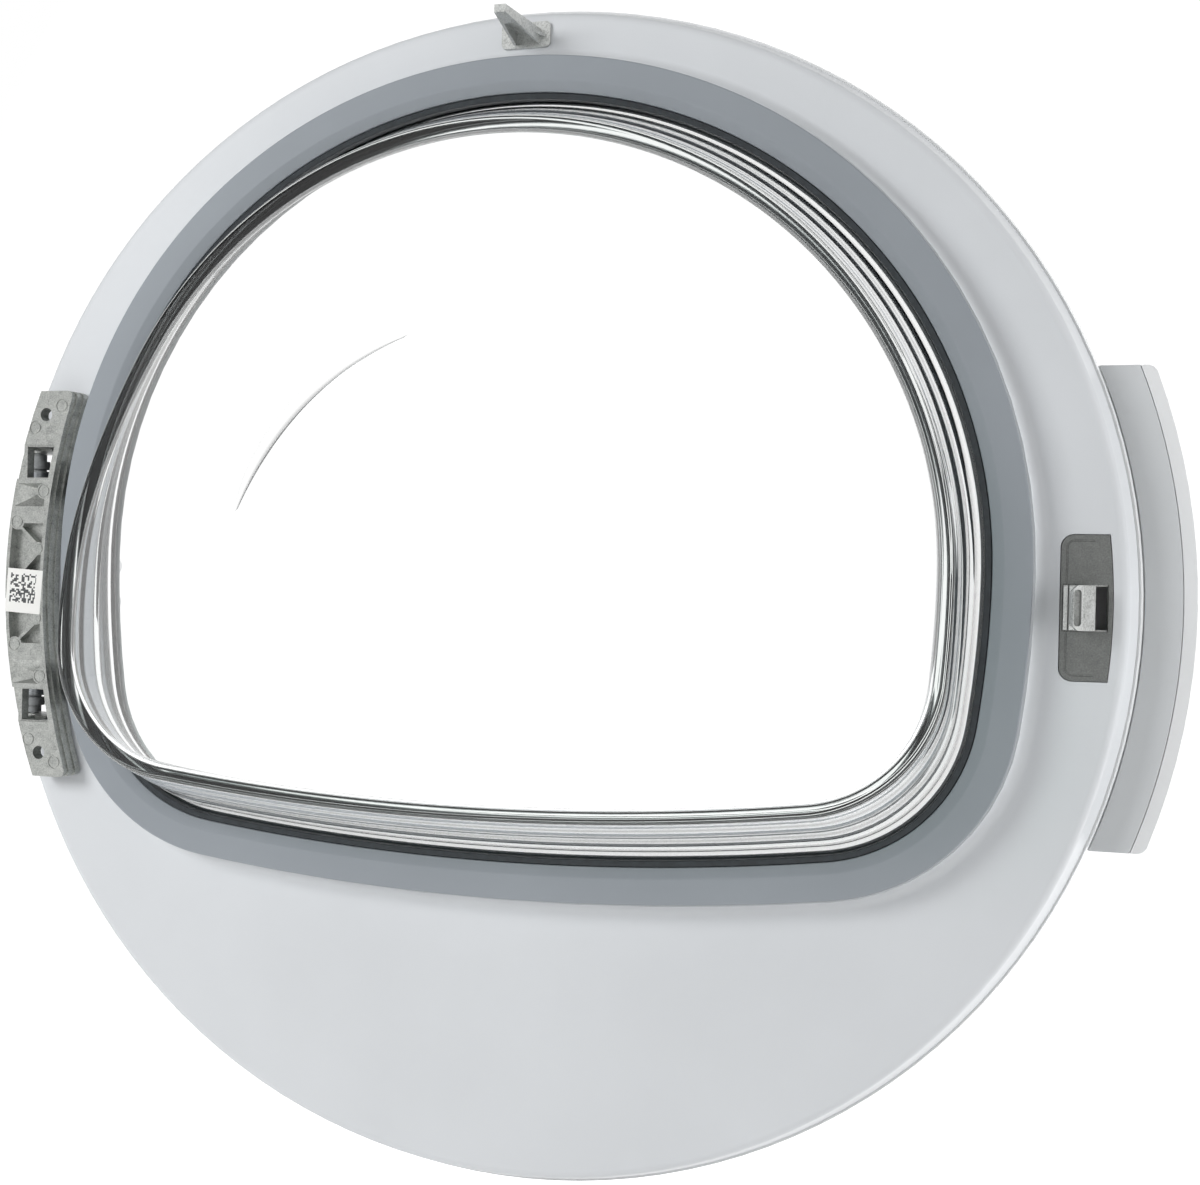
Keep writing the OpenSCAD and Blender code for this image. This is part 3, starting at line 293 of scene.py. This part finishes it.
def outline_points(shape, fine=4):
    """The closed window outline: shallow lower edge, corners, sides and top arch."""
    side_centre = (shape[ARCH] - shape[SIDE], shape[LIFT])
    low_centre = (0, shape[BOTTOM] - shape[DROP])
    across = (low_centre[0] - side_centre[0], low_centre[1] - side_centre[1])
    gap = hypot(*across)
    r1 = shape[SIDE] - shape[CORNER]
    r2 = shape[BOTTOM] - shape[CORNER]
    along = (r1 * r1 - r2 * r2 + gap * gap) / (2 * gap)
    rise = sqrt(r1 * r1 - along * along)
    unit = (across[0] / gap, across[1] / gap)
    corner = (side_centre[0] + along * unit[0] + rise * unit[1],
              side_centre[1] + along * unit[1] - rise * unit[0])
    low = degrees(atan2(corner[1] - low_centre[1], corner[0] - low_centre[0]))
    side = degrees(atan2(corner[1] - side_centre[1], corner[0] - side_centre[0]))
    right = (arc(low_centre, shape[BOTTOM], -90, low, 6 * fine)
             + arc(corner, shape[CORNER], low, side, 10 * fine)
             + arc(side_centre, shape[SIDE], side, 0, 4 * fine)
             + arc((0, shape[LIFT]), shape[ARCH], 0, 90, 20 * fine))
    top = (0, shape[LIFT] + shape[ARCH])
    return right + [top] + [(-x, y) for x, y in right[:0:-1]]


def placed(points, z):
    """Door points at height z as places in the model, in metres."""
    return [((x + HOLE_X) * MM, (FACE - z) * MM, y * MM) for x, y in points]


def loft(name, material, rings, closed):
    """Extrudes a circle from ring to ring, then closes the loft with a bridge or with poles."""
    bpy.ops.object.select_all(action="DESELECT")
    bpy.ops.mesh.primitive_circle_add(vertices=len(rings[0]))
    piece = bpy.context.object
    piece.name = name
    piece.data.name = name
    for vertex, place in zip(piece.data.vertices, rings[0]):
        vertex.co = place
    order = list(range(len(rings[0])))
    first = list(order)
    for ring in rings[1:]:
        before = {tuple(piece.data.vertices[v].co): i for i, v in enumerate(order)}
        count = len(piece.data.vertices)
        bpy.ops.object.mode_set(mode="EDIT")
        bpy.ops.mesh.extrude_region_move()
        bpy.ops.object.mode_set(mode="OBJECT")
        fresh = [0] * len(ring)
        for v in range(count, len(piece.data.vertices)):
            fresh[before[tuple(piece.data.vertices[v].co)]] = v
        order = fresh
        for v, place in zip(order, ring):
            piece.data.vertices[v].co = place
    bpy.ops.object.mode_set(mode="EDIT")
    bpy.ops.mesh.select_mode(type="VERT")
    bpy.ops.mesh.select_all(action="DESELECT")
    bpy.ops.object.mode_set(mode="OBJECT")
    if closed:
        for v in first + order:
            piece.data.vertices[v].select = True
        bpy.ops.object.mode_set(mode="EDIT")
        bpy.ops.mesh.select_mode(type="EDGE")
        bpy.ops.mesh.bridge_edge_loops()
    else:
        for end in (order, first):
            for v in end:
                piece.data.vertices[v].select = True
            bpy.ops.object.mode_set(mode="EDIT")
            bpy.ops.mesh.merge(type="CENTER")
            bpy.ops.mesh.select_all(action="DESELECT")
            bpy.ops.object.mode_set(mode="OBJECT")
        bpy.ops.object.mode_set(mode="EDIT")
    bpy.ops.mesh.select_all(action="SELECT")
    bpy.ops.mesh.normals_make_consistent(inside=False)
    bpy.ops.object.mode_set(mode="OBJECT")
    piece.data.materials.append(material)
    return piece


def swept(name, material, section, angle=25):
    """A closed ring whose section is a list of (inset, height) in millimetres."""
    rings = [placed(outline_points(inset(WINDOW, step)), z) for step, z in section]
    piece = loft(name, material, rings, True)
    soften(piece, 0, angle)
    return piece


def round_corner(centre, radius, start, end, steps=4):
    """Section points round a corner, in degrees, the end point among them."""
    return arc(centre, radius, start, end, steps) + [
        (centre[0] + radius * cos(radians(end)), centre[1] + radius * sin(radians(end)))]


def mixed(outer, inner, share):
    """An outline between two outlines."""
    return tuple(a * (1 - share) + b * share for a, b in zip(outer, inner))


def lowered(points, share):
    """Door points with the share of the face's fall at their height that applies to them."""
    places = []
    for x, y, z in points:
        t = min(1, max(0, (y - FOLD_LOW) / (FOLD_HIGH - FOLD_LOW)))
        fall = BOWL_STEP * (1 - cos(radians(180 * t))) / 2
        places += placed([(x, y)], z - share * fall)
    return places


def bowl_face(root, depth, top, wave):
    """Rings of one face of the bowl, from foot to crown, inwards by root and depth, with a wavy wall."""
    wall = inset(WINDOW, FOOT_IN + FOOT_ROUND + root)
    rim = inset(BOWL_RIM, depth)
    edge = top - BOWL_DOME
    turn = max(BOWL_ROUND - depth, 3.2)
    start = FLANGE_TOP + FOOT_ROUND
    rings = []
    for i in range(24):
        t = i / 24
        line = inset(mixed(wall, rim, t), wave * sin(radians(1080 * t)))
        rings.append(lowered([(x, y, start + (edge - turn - start) * t) for x, y
                              in outline_points(line)], t))
    for i in range(13):
        a = radians(87 * i / 12)
        rings.append(lowered([(x, y, edge - turn + turn * sin(a)) for x, y
                              in outline_points(inset(rim, turn * (1 - cos(a))))], 1))
    lid = outline_points(inset(rim, turn))
    middle = (lid[0][1] + lid[len(lid) // 2][1]) / 2
    for i in range(1, 25):
        k = 1 - i / 25
        z = edge + BOWL_DOME * (1 - k * k)
        rings.append(lowered([(x * k, middle + (y - middle) * k, z) for x, y in lid], 1))
    return rings


def glass_bowl():
    """The pressed glass bowl: flange, hollow foot, slanting wall, rounded rim and domed face."""
    foot = [(FOOT_IN + FOOT_ROUND * sin(radians(a)), FLANGE_TOP + FOOT_ROUND * (1 - cos(radians(a))))
            for a in range(0, 90, 15)]
    flange = [(FLANGE_IN + 0.8, FLANGE_LOW), (FLANGE_IN, FLANGE_LOW + 0.8),
              (FLANGE_IN, FLANGE_TOP - 0.8), (FLANGE_IN + 0.8, FLANGE_TOP)]
    outside = [placed(outline_points(inset(WINDOW, step)), z) for step, z in flange + foot]
    outside += bowl_face(0, 0, BOWL_TOP, WALL_WAVE)
    across, down = FOOT_ROUND + ROOT_WALL, FLANGE_TOP + FOOT_ROUND - FLANGE_LOW
    root = [(FOOT_IN + across * sin(radians(a)), FLANGE_LOW + down * (1 - cos(radians(a))))
            for a in range(0, 90, 9)]
    inside = [placed(outline_points(inset(WINDOW, step)), z) for step, z in root]
    inside += bowl_face(ROOT_WALL, GLASS_WALL, BOWL_TOP - GLASS_WALL, 0)
    piece = loft("glass_bowl_lofted", glass, outside[::-1] + inside, False)
    soften(piece, 0, 50)
    hold(piece, "glass_bowl")
    return piece


def glass_crease(bowl):
    """The faint curved ridge on the bowl's face, with pointed ends, laid on the face under it."""
    rings = []
    for i in range(1, 40):
        a = radians(CREASE_FROM + (CREASE_TO - CREASE_FROM) * i / 40)
        swell = sin(radians(180 * i / 40)) ** 0.7
        ring = []
        for turn in range(0, 360, 20):
            out = CREASE_RADIUS + swell * CREASE_WIDTH / 2 * cos(radians(turn))
            rise = CREASE_LIFT + swell * CREASE_HEIGHT * max(0, sin(radians(turn)))
            x, y, z = placed([(CREASE_X + out * cos(a), CREASE_Y + out * sin(a))], 100)[0]
            face = bowl.ray_cast(Vector((x, y, z)), Vector((0, 1, 0)))[1]
            ring.append((x, face.y - rise * MM, z))
        rings.append(ring)
    piece = loft("glass_crease", glass, rings, False)
    bpy.ops.object.shade_smooth_by_angle(angle=radians(60))
    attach(piece, "door")


def window_frame():
    """The grey frame: flat outer zone, bevelled inner zone, and the skirt behind it."""
    top = COLLAR + FRAME_T
    section = ([(0, COLLAR)] + round_corner((0.8, top - 0.8), 0.8, 180, 90)
               + [(FRAME_FLAT, top), (FRAME_FLAT + 1, top - FRAME_FALL * 0.08)]
               + round_corner((FRAME_W - 0.6, top - FRAME_FALL - 0.6), 0.6, 80, 0)
               + [(FRAME_W, COLLAR + 0.2), (8.2, COLLAR + 0.2), (8.2, 6), (6.3, 6), (6.3, COLLAR)])
    hold(swept("window_frame_ring", grey_abs, section), "window_frame")


def bowl_seal():
    """The black seal: a flat part under the frame, and the lip that shows beside the glass."""
    section = ([(SEAL_IN, COLLAR)]
               + round_corner((SEAL_IN + 0.5, SEAL_TOP - 0.5), 0.5, 180, 90, 3)
               + round_corner((SEAL_IN + SEAL_W - 0.5, SEAL_TOP - 0.5), 0.5, 90, 0, 3)
               + [(SEAL_IN + SEAL_W, FLANGE_TOP), (FLANGE_IN, FLANGE_TOP), (FLANGE_IN, COLLAR)])
    hold(swept("bowl_seal_ring", silicone, section), "bowl_seal")


glass_crease(glass_bowl())
window_frame()
bowl_seal()


# Camera, where the photograph was taken from

camera = bpy.data.cameras.new("camera")
camera.lens = 42.82
camera.sensor_width = 36
eye = bpy.data.objects.new("camera", camera)
eye.location = (0.37744, -0.5274, 0.0012)
eye.rotation_euler = (radians(90.04), radians(-1.325), radians(14.25))
bpy.context.scene.collection.objects.link(eye)
bpy.context.scene.camera = eye


# Floor, world and lamps

def seen_white(tree, strength):
    """White for the rays that the camera, mirrors and glass send out, and where it applies."""
    white = add(tree, "Emission", {"Color": linear("#ffffff"), "Strength": strength})
    path = add(tree, "LightPath", {})
    seen = add(tree, "Math", {0: path.outputs["Is Camera Ray"], 1: path.outputs["Is Transmission Ray"]},
               operation="MAXIMUM")
    seen = add(tree, "Math", {0: seen.outputs[0], 1: path.outputs["Is Glossy Ray"]},
               operation="MAXIMUM")
    return white.outputs[0], seen.outputs[0]


def studio():
    """A white world to look at, with greyer sides for glass and metal, and a dimmer light of its own."""
    world = bpy.data.worlds.new("studio")
    bpy.context.scene.world = world
    world.use_nodes = True
    tree = world.node_tree
    light = tree.nodes["Background"]
    light.inputs["Color"].default_value = linear("#ffffff")
    light.inputs["Strength"].default_value = 0.36
    towards = add(tree, "SeparateXYZ", {0: add(tree, "TexCoord", {}).outputs["Generated"]})
    facing = add(tree, "Math", {0: towards.outputs["Y"]}, operation="ABSOLUTE")
    walls = add(tree, "MapRange", {"Value": facing.outputs[0], "From Min": 0.4, "From Max": 0.8,
                                   "To Min": 0.25, "To Max": 1.08})
    looked = add(tree, "Math", {0: add(tree, "LightPath", {}).outputs["Is Camera Ray"],
                                1: walls.outputs[0]}, operation="MAXIMUM")
    white, seen = seen_white(tree, looked.outputs[0])
    mix = add(tree, "MixShader", {0: seen, 1: light.outputs[0], 2: white})
    tree.links.new(mix.outputs[0], tree.nodes["World Output"].inputs["Surface"])


def studio_floor():
    """A pale matt floor far below the door, which keeps the door's shadow."""
    bpy.ops.object.select_all(action="DESELECT")
    bpy.ops.mesh.primitive_plane_add(size=16, location=(0, 0, -0.42))
    floor = bpy.context.object
    floor.name = "floor"
    material, tree, shader, where = surface("pale_matt_floor", "#e9e9e9", 0.9)
    white, seen = seen_white(tree, 0.8)
    glow = add(tree, "MixShader", {0: seen, 2: white})
    both = add(tree, "AddShader", {0: shader.outputs[0], 1: glow.outputs[0]})
    tree.links.new(both.outputs[0], tree.nodes["Material Output"].inputs["Surface"])
    floor.data.materials.append(material)


def softbox(name, place, aim, size, watts):
    """A soft lamp that lights the object but isn't mirrored in glass and metal."""
    data = bpy.data.lights.new(name, "AREA")
    data.shape = "RECTANGLE"
    data.size, data.size_y = size
    data.energy = watts
    piece = bpy.data.objects.new(name, data)
    piece.location = place
    piece.rotation_euler = (Vector(aim) - Vector(place)).to_track_quat("-Z", "Y").to_euler()
    piece.visible_glossy = False
    piece.visible_transmission = False
    piece.visible_camera = False
    bpy.context.scene.collection.objects.link(piece)


studio()
studio_floor()
softbox("key_softbox", (-0.5, -0.9, 0.4), (0.2, 0, 0), (0.5, 0.5), 8.6)
softbox("fill_softbox", (1.5, -0.9, 0.1), (0.3, 0, 0), (0.9, 1.4), 3)
softbox("rim_softbox", (1.5, 0.15, 0.2), (0.35, 0, 0), (0.3, 1.2), 9)
softbox("back_softbox", (0.5, 1.5, 0.5), (0.2, 0, 0), (1.2, 1.2), 9)

bpy.context.scene.view_settings.view_transform = "Standard"
